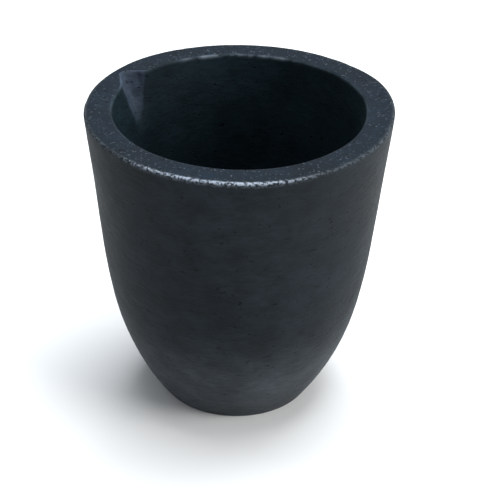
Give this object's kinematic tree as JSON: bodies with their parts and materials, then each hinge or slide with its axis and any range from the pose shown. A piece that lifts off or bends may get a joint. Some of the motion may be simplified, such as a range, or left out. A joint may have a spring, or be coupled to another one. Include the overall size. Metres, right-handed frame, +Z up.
{
  "type": "foundry crucible",
  "caption": "Round thick-walled melting crucible: open top, flat rim, tapered upper wall, rounded belly, flat base and a pour groove cut inside the rim.",
  "frame": {"origin": "centre of the flat base, on the surface that the pot stands on", "axes": "+Z up along the pot's axis, +Y towards the pour groove, +X to its right when seen from outside the groove with the rim up"},
  "size_m": [0.1298, 0.1298, 0.135],
  "materials": {
    "refractory": "matt near-black graphite refractory, fine turned streaks"
  },
  "bodies": {
    "root": {"crucible_body": "refractory"}
  },
  "joints": []
}
